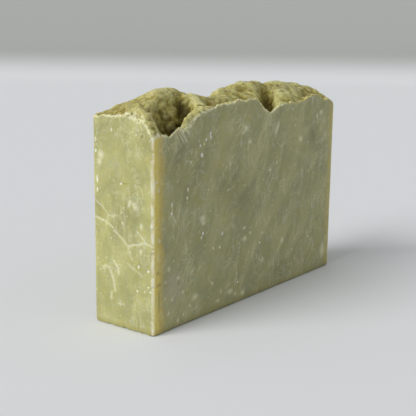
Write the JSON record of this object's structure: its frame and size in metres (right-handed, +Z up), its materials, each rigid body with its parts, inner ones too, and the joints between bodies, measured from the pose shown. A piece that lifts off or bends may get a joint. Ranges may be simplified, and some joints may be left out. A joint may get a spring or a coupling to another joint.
{
  "type": "bar of soap",
  "caption": "Hand-cut rectangular bar of soap that stands on its narrow base, with smooth cut faces and a rough, cratered crust along the top.",
  "frame": {"origin": "centre of the base, on the surface that the bar stands on", "axes": "+X along the bar's length, from the end with the crater to the other; +Y across its thickness, from the front cut face to the back one; +Z up from the base to the crust"},
  "size_m": [0.091, 0.0212, 0.0625],
  "materials": {
    "soap": "satin"
  },
  "bodies": {
    "root": {"soap_bar": "soap"}
  },
  "joints": []
}
